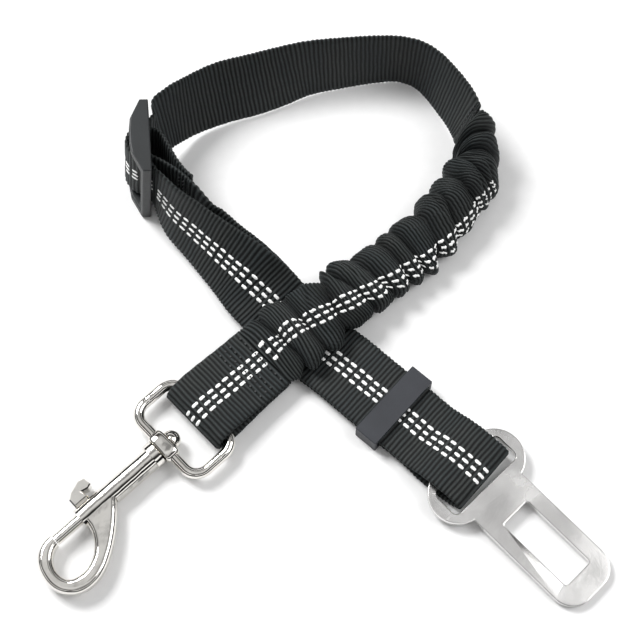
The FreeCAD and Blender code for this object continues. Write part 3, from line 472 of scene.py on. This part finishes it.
def eye_piece():
    """The swivel eye: a ring of round wire and the cushioned hub that the rivet turns in."""
    far, near, side, bend, wire = 0.0, 17.4, 15.2, 5.0, 1.8
    path = []
    for x, y, start in ((near - bend, side - bend, 0), (far + bend, side - bend, 90),
                        (far + bend, bend - side, 180), (near - bend, bend - side, 270)):
        for k in range(BEND_STEPS + 1):
            turn = math.radians(start + 90 * k / BEND_STEPS)
            path.append((x + bend * math.cos(turn), y + bend * math.sin(turn), 0.0))
    path = np.array(path + path[:1])
    steps = np.linalg.norm(np.diff(path, axis=0), axis=1)
    at = np.concatenate([[0.0], np.cumsum(steps)])
    even = np.linspace(0, at[-1], RING_ROWS)[:-1]
    ring = np.stack([np.interp(even, at, path[:, k]) for k in range(3)], 1)
    along = np.roll(ring, -1, 0) - np.roll(ring, 1, 0)
    along /= np.linalg.norm(along, axis=1)[:, None]
    out = np.cross(along, UP)
    turns = 2 * np.pi * np.arange(WIRE_SIDES) / WIRE_SIDES
    tube = ring[:, None] + wire * (out[:, None] * np.cos(turns)[None, :, None]
                                   + UP * np.sin(turns)[None, :, None])
    tube = np.concatenate([tube, tube[:1]]).reshape(-1, 3)
    faces = grid_faces(RING_ROWS, WIRE_SIDES)
    rings = []
    for lat in np.linspace(-0.5 * np.pi, 0.5 * np.pi, HUB_RINGS):
        for lon in 2 * np.pi * np.arange(HUB_SIDES) / HUB_SIDES:
            spot = (math.cos(lat) * math.cos(lon), math.sin(lat), math.cos(lat) * math.sin(lon))
            rings.append([h * math.copysign(abs(v) ** e, v) for h, v, e in zip(HUB_HALF, spot, HUB_ROUND)])
    cushion = np.array(rings) + [HUB_AT, 0, 0]
    faces += [tuple(len(tube) + v for v in face) for face in grid_faces(HUB_RINGS, HUB_SIDES)]
    points = np.concatenate([tube, cushion])
    side_way = np.cross(UP, SNAP_DIRECTION)
    world = EYE_BAR + SHIFT + points[:, :1] * SNAP_DIRECTION + points[:, 1:2] * side_way + points[:, 2:] * UP
    item = new_object("eye_ring", world * MM, faces, SNAP_CHROME)
    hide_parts("swivel_eye")
    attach(item, "eye")


for node in ("snap_casting", "snap_bolt", "thumb_tab", "swivel_rivet"):
    cad_material(node, SNAP_CHROME)


def spring_piece():
    """The bolt's spring, between the barrel's blind end and the bolt: a copy of the CAD node in spring steel.
    """
    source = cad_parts["snap_spring"]
    item = bpy.data.objects.new("bolt_spring", source.data.copy())
    bpy.context.scene.collection.objects.link(item)
    item.matrix_world = source.matrix_world.copy()
    item.data.materials.clear()
    item.data.materials.append(SPRING_STEEL)
    bpy.context.view_layer.update()
    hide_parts("snap_spring")
    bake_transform(item)


spring_piece()
eased("seat_belt_tongue", "tongue", TONGUE_CHROME, 0.35, 3)
eased("tri_glide_slider", "slider", SLIDER_PLASTIC, 0.45, 3)
eased("keeper_loop", "keeper", KEEPER_PLASTIC, 0.35, 3)


# ---------------------------------------------------------------- ribbed webbing
RIB = 1.47
RIB_ROWS = 6
RIB_DEPTH = 0.34
RIB_MIDDLE = 0.72
EDGE_ROUND = 0.55


def set_weave(item, weave, painted_shade_level):
    """Weave coordinates in millimetres, per vertex, and how high each stands on its rib, which sets the
    painted shade in the grooves.
    """
    mesh = item.data
    layer = mesh.uv_layers.new(name="weave")
    loops = np.zeros(len(mesh.loops), int)
    mesh.loops.foreach_get("vertex_index", loops)
    layer.data.foreach_set("uv", np.asarray(weave, np.float32)[loops].ravel())
    attribute = mesh.attributes.new("painted_shade_level", "FLOAT", "POINT")
    attribute.data.foreach_set("value", np.asarray(painted_shade_level, np.float32))


def strap_profile():
    """Corner points of the strap's section: across, through, and how much of the rib shows there."""
    half = WEB / 2 - 0.15
    face = np.linspace(-half + EDGE_ROUND, half - EDGE_ROUND, 15)
    top = [(x, 1.0, 1.0) for x in face]
    right = [(half - 0.1, 0.55, 0.9), (half, 0.0, 0.6), (half - 0.1, -0.55, 0.9)]
    bottom = [(x, -1.0, 1.0) for x in face[::-1]]
    left = [(-half + 0.1, -0.55, 0.9), (-half, 0.0, 0.6), (-half + 0.1, 0.55, 0.9)]
    return np.array(top + right + bottom + left)


PROFILE = strap_profile()
eye_piece()


def strap(name, centres, acrosses, phase=0.0):
    """A ribbed ribbon; returns the object and the even frame it was built on."""
    centre, across, along, at = even_frame(centres, acrosses, RIB / RIB_ROWS)
    centre = centre + SHIFT
    normal = np.cross(across, along)
    rows, columns = len(centre), len(PROFILE)
    vertices = np.zeros((rows, columns, 3))
    weave = np.zeros((rows, columns, 2))
    painted_shade_level = np.zeros((rows, columns))
    half_thick = THICK / 2 - 0.12
    for j, (x, through, shown) in enumerate(PROFILE):
        wobble = 0.06 * np.sin(at * 0.9 + x * 0.35) + 0.05 * np.sin(at * 0.37 - x * 0.8 + 2)
        turn = 2 * math.pi * (at + phase + wobble) / RIB + (math.pi if through < 0 else 0.0)
        height = np.sqrt(np.clip(0.5 + 0.5 * np.cos(turn), 0, 1))
        lift = half_thick + RIB_DEPTH * (height - RIB_MIDDLE) * shown
        sway = 0.08 * np.sin(at * 0.21 + 1) + 0.04 * np.sin(at * 1.3)
        side = x + sway + (0.34 * (height - 0.6) * np.sign(x) if abs(x) > WEB / 2 - 0.6 else 0.0)
        vertices[:, j] = centre + across * np.reshape(side * np.ones(rows), (-1, 1)) \
            + normal * (through * lift)[:, None]
        weave[:, j, 0] = x + (40.0 if through < 0 else 0.0)
        weave[:, j, 1] = at + phase
        # the rib height also sets the painted shade in the grooves
        painted_shade_level[:, j] = height
    faces = grid_faces(rows, columns)
    faces.append(tuple(range(columns - 1, -1, -1)))
    last = (rows - 1) * columns
    faces.append(tuple(last + j for j in range(columns)))
    item = new_object(name, vertices.reshape(-1, 3) * MM, faces, WEBBING)
    set_weave(item, weave.reshape(-1, 2), painted_shade_level.ravel())
    return item, (centre, across, along, normal, at)


# ---------------------------------------------------------------- reflective yarns
DASH_PITCH = 3.25
TONGUE_ROWS_END = 78.5
SNAP_ROWS_END = 33.0
SLEEVE_ROWS_START = 0.5
SLEEVE_ROWS_SHORT = 27.0
DASH_LENGTH = 2.2
DASH_WIDTH = 1.08
ROW_PITCH = 2.4


def pill(length, width, height, segments=5, rings=3):
    """A low rounded float of yarn, in its own frame: along, across, up."""
    points = []
    for i in range(-segments, segments + 1):
        a = i / segments
        reach = (1 - abs(a) ** 4) ** 0.5
        for j in range(-rings, rings + 1):
            b = j / rings
            points.append((a * length / 2, b * width / 2 * (0.45 + 0.55 * reach),
                           height * (1 - 0.75 * b * b) * (0.25 + 0.75 * reach)))
    width_count = 2 * rings + 1
    faces = []
    for i in range(2 * segments):
        for j in range(2 * rings):
            a = i * width_count + j
            faces.append((a, a + width_count, a + width_count + 1, a + 1))
    return np.array(points), faces


PILL, PILL_FACES = pill(DASH_LENGTH, DASH_WIDTH, 0.34)


def dashes(name, surface, start, end):
    """Three rows of floats on a surface; surface(along, across) gives a point and its normal."""
    vertices = []
    faces = []
    at = start + DASH_PITCH / 2
    index = 0
    while at < end - DASH_PITCH / 2:
        for row in (-1, 0, 1):
            x = row * ROW_PITCH + 0.12 * math.sin(index * 1.7 + row)
            here = at + 0.10 * math.sin(index * 2.3 + row * 2)
            stretch = 1 + 0.10 * math.sin(index * 3.1 + row * 4)
            base = len(vertices)
            for p, q, h in PILL:
                point, normal = surface(here + p * stretch, x + q)
                vertices.append((point + normal * (h - 0.12)) * MM)
            faces += [tuple(base + f for f in face) for face in PILL_FACES]
        at += DASH_PITCH
        index += 1
    return new_object(name, vertices, faces, REFLECTIVE_PAINTED_GLOW)


def flat_surface(strap_frame, side):
    centre, across, along, normal, at = strap_frame

    def surface(here, x):
        spot = np.array([np.interp(here, at, centre[:, k]) for k in range(3)])
        over = np.array([np.interp(here, at, across[:, k]) for k in range(3)])
        up = np.array([np.interp(here, at, normal[:, k]) for k in range(3)]) * side
        return spot + over * x + up * (THICK / 2 - 0.06), up

    return surface


STRAP_STEPS = 12
TONGUE_ACROSS = vec(STRAP_DIRECTION[1], -STRAP_DIRECTION[0])
pieces = {
    "front": strap("front_strap", *leaning_frame(FRONT_ROUTE, STRAP_STEPS, PITCH)),
    "back": strap("back_strap", *back_frame(STRAP_STEPS), phase=0.6),
    "loop": strap("loop_strap", *leaning_frame(LOOP_ROUTE, STRAP_STEPS), phase=0.3),
    "bight": strap("bight_strap", *folded_frame(SLIDER_BASE, SLIDER_ALONG, SLIDER_OUT, BIGHT, SLIDER_UP,
                                                STRAP_STEPS)),
    "anchor": strap("anchor_strap", *folded_frame(SLIDER_BASE, SLIDER_ALONG, SLIDER_OUT, ANCHOR, SLIDER_UP,
                                                  STRAP_STEPS)),
    "tongue": strap("tongue_strap", *folded_frame(KEEPER, STRAP_DIRECTION, UP, TONGUE_FOLD, TONGUE_ACROSS,
                                                  STRAP_STEPS)),
    "snap": strap("snap_strap", *folded_frame(EYE_BAR, STRAP_AWAY, UP, SNAP_FOLD, SNAP_ACROSS, STRAP_STEPS)),
}
BODIES = {"front": "main_strap", "back": "main_strap", "loop": "main_strap", "bight": "slider",
          "anchor": "slider", "tongue": "main_strap", "snap": "snap_strap"}
NODES = {"front": "front_webbing", "back": "back_webbing", "loop": "loop_webbing",
         "bight": "slider_bight_webbing", "anchor": "anchor_fold_webbing", "tongue": "tongue_end_webbing",
         "snap": "snap_end_webbing"}
SLIDING = {"front": (0.15, 1.0), "back": (0.15, 1.0), "loop": (0.5, 0.0)}


def carry(item, key):
    """A strap's piece is attached to its body, or, for the runs listed in SLIDING, has its transform baked
    in.
    """
    if key not in SLIDING:
        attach(item, BODIES[key])
        return
    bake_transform(item)


for key, (item, strap_frame) in pieces.items():
    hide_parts(NODES[key])
    carry(item, key)


def dash_run(name, key, start, end):
    """Floats on the strap's bright face, from start to end of its length."""
    surface = flat_surface(pieces[key][1], BRIGHT_SIDE[key])
    item = dashes(name, surface, start, end)
    carry(item, key)
    return item


BRIGHT_SIDE = {"front": 1.0, "loop": 1.0, "bight": 1.0, "tongue": 1.0, "snap": -1.0}


# ---------------------------------------------------------------- gathered sleeve
SLEEVE_STEPS = 12
SLEEVE_SQUARENESS = 0.7


def sleeve_grid():
    """The cover's centre line, axes and half sizes, evenly spaced."""
    rows = smooth_route(SLEEVE_ROUTE, SLEEVE_STEPS)
    order = 2 / (2 - SLEEVE_SQUARENESS)
    leans = np.radians(rows[:, 3])
    reach = (abs(rows[:, 4] / 2 * np.sin(leans)) ** order
             + abs(rows[:, 5] / 2 * np.cos(leans)) ** order) ** (1 / order)
    centres = rows[:, :3].copy()
    centres[:, 2] += reach
    steps = np.linalg.norm(np.diff(centres, axis=0), axis=1)
    distance = np.concatenate([[0.0], np.cumsum(steps)])
    length = distance[-1]
    count = SLEEVE_ROWS
    at = np.linspace(0, length, count)
    centre = np.stack([np.interp(at, distance, centres[:, k]) for k in range(3)], 1) + SHIFT
    lean = np.interp(at, distance, leans)
    half_w = np.interp(at, distance, rows[:, 4]) / 2
    half_h = np.interp(at, distance, rows[:, 5]) / 2
    along = tangents(centre * [1, 1, 0])
    right = np.stack([along[:, 1], -along[:, 0], np.zeros(count)], 1)
    across = right * np.cos(-lean)[:, None] + np.cross(right, along) * np.sin(-lean)[:, None]
    normal = np.cross(across, along)
    return at, centre, across, along, normal, half_w, half_h


GATHERS = 13
SLEEVE_ROWS = 1500
SLEEVE_COLUMNS = 112
GATHER_DEPTH = 4.3
SLEEVE_RIB = 1.3
SLEEVE_RIB_DEPTH = 0.55
SLEEVE_SWELL = 1.3
FOOT_TAPER = 7.0
HEAD_TAPER = 3.5
SLEEVE_LOWEST = 0.06
SLEEVE_HIGHEST = 33.0
SLEEVE_SEED = 11


def sleeve_piece():
    """The gathered cover: bunches of uneven length and fullness, with ribs that run round them."""
    at, centre, across, along, normal, half_w, half_h = sleeve_grid()
    length = at[-1]
    count = len(at)
    angles = 2 * np.pi * np.arange(SLEEVE_COLUMNS) / SLEEVE_COLUMNS
    rng = random.Random(SLEEVE_SEED)
    spots = []
    place = 0.0
    for i in range(GATHERS):
        place += rng.uniform(0.6, 1.4)
        spots.append(place)
    spots = np.array(spots) / (spots[-1] + 0.8) * length
    tilt = [rng.uniform(-2.6, 2.6) for _ in spots]
    wave = [rng.uniform(0, 2 * math.pi) for _ in spots]
    bend = [rng.uniform(0.2, 0.8) for _ in spots]
    strength = [rng.uniform(0.75, 1.1) for _ in spots]
    skew = [rng.uniform(0.6, 1.6) for _ in range(GATHERS + 1)]
    puff = [rng.uniform(-1.1, 1.1) for _ in range(GATHERS + 1)]
    crease = [(rng.uniform(0.3, 0.7), rng.uniform(0, 2 * math.pi), rng.uniform(0.5, 1.0))
              for _ in range(GATHERS + 1)]
    field = np.zeros((count, SLEEVE_COLUMNS))
    for j, angle in enumerate(angles):
        valley = []
        depth = []
        for i, spot in enumerate(spots):
            shift = tilt[i] * math.cos(angle) + bend[i] * math.sin(2 * angle + wave[i])
            valley.append(spot + shift)
            depth.append(strength[i] * (0.82 + 0.18 * math.sin(angle * 2 + wave[i] * 1.7)))
        valley = [-1.0] + valley + [length + 1.0]
        depth = [0.1] + depth + [0.1]
        for k in range(len(valley) - 1):
            low, high = valley[k], valley[k + 1]
            inside = (at >= low) & (at < high)
            f = ((at[inside] - low) / (high - low)) ** skew[k]
            arch = np.clip(1 - abs(2 * f - 1) ** 2.2, 0, 1) ** 0.85
            floor = (1 - f) * depth[k] + f * depth[k + 1]
            where, facing, share = crease[k]
            side = puff[k] * math.cos(angle - 2 * facing) + 0.5 * puff[k]
            where = where + 0.12 * math.sin(angle * 2 + facing)
            fold = np.exp(-((f - where) / 0.07) ** 2) * max(0.0, math.cos(angle - facing)) * share
            field[inside, j] = (arch - 1.0) * floor + (side * arch - 1.5 * fold) / GATHER_DEPTH
    taper = np.clip(np.minimum(at / FOOT_TAPER, (length - at) / HEAD_TAPER), 0, 1)
    taper = taper * taper * (3 - 2 * taper)
    field = field * taper[:, None] * GATHER_DEPTH
    lumps = 0.35 * np.sin(at[:, None] * 0.7 + 3 * angles[None, :]) * taper[:, None]
    spread = np.sign(np.cos(angles)) * abs(np.cos(angles)) ** 0.8
    lift = np.sign(np.sin(angles)) * abs(np.sin(angles)) ** 0.8
    grow = SLEEVE_SWELL * taper
    wide = half_w[:, None] + grow[:, None] + field + lumps
    high = half_h[:, None] + 0.7 * grow[:, None] + field * 0.75 + lumps * 0.6
    points = centre[:, None, :] + across[:, None, :] * (wide * spread)[:, :, None] \
        + normal[:, None, :] * (high * lift)[:, :, None]
    steps = np.linalg.norm(np.diff(points, axis=0), axis=2)
    run = np.concatenate([np.zeros((1, SLEEVE_COLUMNS)), np.cumsum(steps, axis=0)])
    total = float(np.mean(run[-1]))
    mean_run = run.mean(axis=1)
    run = 0.5 * run / run[-1] * total + 0.5 * (mean_run / mean_run[-1] * total)[:, None]
    outward = across[:, None, :] * (spread / np.maximum(half_w[:, None], 1))[:, :, None] \
        + normal[:, None, :] * (lift / np.maximum(half_h[:, None], 1))[:, :, None]
    outward /= np.linalg.norm(outward, axis=2)[:, :, None]
    fan = 2.6 * np.sin(2 * angles + 0.16 * at[:, None]) + 0.8 * np.sin(3 * angles - 0.23 * at[:, None])
    turn = 2 * np.pi * run / SLEEVE_RIB + fan
    height = np.sqrt(np.clip(0.5 + 0.5 * np.cos(turn), 0, 1))
    points = points + outward * ((height - RIB_MIDDLE) * SLEEVE_RIB_DEPTH)[:, :, None]
    points[:, :, 2] = np.clip(points[:, :, 2], SLEEVE_LOWEST, SLEEVE_HIGHEST)
    faces = grid_faces(count, SLEEVE_COLUMNS)
    item = new_object("sleeve", points.reshape(-1, 3) * MM, faces, WEBBING)
    girth = np.broadcast_to(angles * 8.0, run.shape)
    # Painted shade: the valleys between gathers are darkened in the base colour, on top of the painted shade
    # in the rib grooves.
    painted_valley_shade = np.clip(1 + field / GATHER_DEPTH, 0, 1) ** 0.7
    set_weave(item, np.stack([girth, run], 2).reshape(-1, 2), (height * (0.25 + 0.75 * painted_valley_shade)).ravel())
    return item, points, run, total


sleeve, sleeve_points, sleeve_run, sleeve_total = sleeve_piece()


TOP_ANGLE = 90.0
SMOOTHING_ROWS = 40


def sleeve_surface():
    """The bright rows' path over the gathers: it starts on top and drifts round the outside."""
    count = len(sleeve_points)
    down = np.gradient(sleeve_points, axis=0)
    closed = np.concatenate([sleeve_points[:, -1:], sleeve_points, sleeve_points[:, :1]], 1)
    around = np.gradient(closed, axis=1)
    outward = np.cross(around[:, 1:-1], down)
    outward /= np.maximum(np.linalg.norm(outward, axis=2), 1e-9)[:, :, None]
    hub = sleeve_points.mean(axis=1)
    outward *= np.sign(((sleeve_points - hub[:, None]) * outward).sum(2))[:, :, None]
    rows = smooth_route(SLEEVE_ROUTE, SLEEVE_STEPS)
    drift = np.interp(np.linspace(0, 1, count), np.linspace(0, 1, len(rows)), rows[:, 6])
    span = SLEEVE_COLUMNS // 4
    order = np.arange(-span, 2 * span + 1)
    ring = (0.4 * sleeve_points + 0.3 * np.roll(sleeve_points, SMOOTHING_ROWS, 0)
            + 0.3 * np.roll(sleeve_points, -SMOOTHING_ROWS, 0))
    ring_steps = np.linalg.norm(np.diff(ring[:, order], axis=1), axis=2)
    ring_run = np.concatenate([np.zeros((count, 1)), np.cumsum(ring_steps, axis=1)], 1)
    ring_index = order.astype(float)
    mean_run = sleeve_run.mean(axis=1)

    def surface(here, x):
        i0 = np.interp(here, mean_run, np.arange(count))
        near = int(i0)
        middle = (TOP_ANGLE - drift[near]) / 360.0 * SLEEVE_COLUMNS
        column = np.interp(np.interp(middle, ring_index, ring_run[near]) - x, ring_run[near], ring_index)
        j = int(math.floor(column))
        f = column - j
        j, k = j % SLEEVE_COLUMNS, (j + 1) % SLEEVE_COLUMNS
        path = sleeve_run[:, j] * (1 - f) + sleeve_run[:, k] * f
        i = min(np.interp(here, path, np.arange(count)), count - 1.001)
        n, g = int(i), i - int(i)
        spot = 0.0
        normal = 0.0
        for row, share in ((n, 1 - g), (n + 1, g)):
            spot = spot + share * (sleeve_points[row, j] * (1 - f) + sleeve_points[row, k] * f)
            normal = normal + share * (outward[row, j] * (1 - f) + outward[row, k] * f)
        return spot, unit(normal)

    return surface


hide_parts("bungee_sleeve", "elastic_band")
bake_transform(sleeve)

for node in ("snap_end_stitching", "anchor_stitching", "sleeve_upper_stitching", "sleeve_lower_stitching"):
    cad_material(node, THREAD)

sleeve_dashes = dashes("sleeve_dashes", sleeve_surface(), SLEEVE_ROWS_START,
                       sleeve_total - SLEEVE_ROWS_SHORT)
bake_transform(sleeve_dashes)
dash_run("front_dashes", "front", 0.0, pieces["front"][1][4][-1])
dash_run("bight_dashes", "bight", 0.0, pieces["bight"][1][4][-1])
dash_run("tongue_dashes", "tongue", 0.0, TONGUE_ROWS_END)
dash_run("snap_dashes", "snap", 0.0, SNAP_ROWS_END)
dash_run("loop_dashes", "loop", 0.0, pieces["loop"][1][4][-1])

# ---------------------------------------------------------------- studio
floor_mesh = bpy.data.meshes.new("floor")
FLOOR = 3.0
floor_mesh.from_pydata([(-FLOOR, -FLOOR, 0), (FLOOR, -FLOOR, 0), (FLOOR, FLOOR, 0), (-FLOOR, FLOOR, 0)], [],
                       [(0, 1, 2, 3)])
floor = bpy.data.objects.new("floor", floor_mesh)
bpy.context.scene.collection.objects.link(floor)
paper = bpy.data.materials.new("paper")
paper_tree, paper_shader = nodes_of(paper)
paper_grain = noise(paper_tree, add(paper_tree, "TexCoord").outputs["Object"], 300.0)
paper_tones = [(0.3, (0.9, 0.9, 0.9)), (0.7, (0.92, 0.92, 0.92))]
paper_tree.links.new(ramp(paper_tree, paper_grain.outputs[0], paper_tones), paper_shader.inputs["Base Color"])
paper_shader.inputs["Roughness"].default_value = 0.9
floor_mesh.materials.append(paper)

world = bpy.data.worlds.new("studio")
bpy.context.scene.world = world
world.use_nodes = True
sky_tree = world.node_tree
sky_parts = sky_tree.nodes.new("ShaderNodeSeparateXYZ")
sky_tree.links.new(sky_tree.nodes.new("ShaderNodeTexCoord").outputs["Generated"], sky_parts.inputs[0])
sky = ramp(sky_tree, sky_parts.outputs[2], [(0.0, (0.9, 0.9, 0.9)), (0.04, (0.01, 0.01, 0.012)),
                                            (0.38, (0.02, 0.02, 0.022)), (0.46, (1.3, 1.3, 1.3)),
                                            (0.56, (1.3, 1.3, 1.3)), (0.62, (0.03, 0.03, 0.032)),
                                            (0.76, (0.10, 0.095, 0.09)), (0.88, (0.62, 0.62, 0.62)),
                                            (1.0, (0.85, 0.85, 0.85))])
patches = noise(sky_tree, sky_tree.nodes["Texture Coordinate"].outputs["Generated"], 2.3, 1.0)
sky_mix = add(sky_tree, "Mix", data_type="RGBA", blend_type="MULTIPLY")
sky_mix.inputs[0].default_value = 1.0
sky_tree.links.new(sky, sky_mix.inputs[6])
sky_tree.links.new(ramp(sky_tree, patches.outputs[0], [(0.40, (0.35, 0.35, 0.35)), (0.56, (1, 1, 1))]),
                   sky_mix.inputs[7])
sky_tree.links.new(sky_mix.outputs[2], sky_tree.nodes["Background"].inputs[0])
sky_tree.nodes["Background"].inputs[1].default_value = 1.0
bpy.context.scene.view_settings.view_transform = "Standard"


def softbox(name, spot, target, width, height, power):
    data = bpy.data.lights.new(name, "AREA")
    data.shape = "RECTANGLE"
    data.size = width
    data.size_y = height
    data.energy = power
    item = bpy.data.objects.new(name, data)
    item.location = spot
    item.rotation_euler = (Vector(target) - Vector(spot)).to_track_quat("-Z", "Y").to_euler()
    bpy.context.scene.collection.objects.link(item)


softbox("key", (-0.55, 0.45, 0.8), (0, 0, 0), 0.4, 0.4, 11.0)
softbox("fill", (0.7, 0.0, 0.8), (0, 0, 0), 0.6, 0.6, 4.5)

camera_data = bpy.data.cameras.new("camera")
camera_data.sensor_width = 36.0
camera_data.lens = 84.375
camera_data.clip_start = 0.01
camera = bpy.data.objects.new("camera", camera_data)
TARGET = Vector((SHIFT[0] * MM, SHIFT[1] * MM, 0.0))
ELEVATION = math.radians(67)
camera.location = TARGET + Vector((0, -math.cos(ELEVATION), math.sin(ELEVATION))) * 0.5
camera.rotation_euler = (TARGET - camera.location).to_track_quat("-Z", "Y").to_euler()
bpy.context.scene.collection.objects.link(camera)
bpy.context.scene.camera = camera
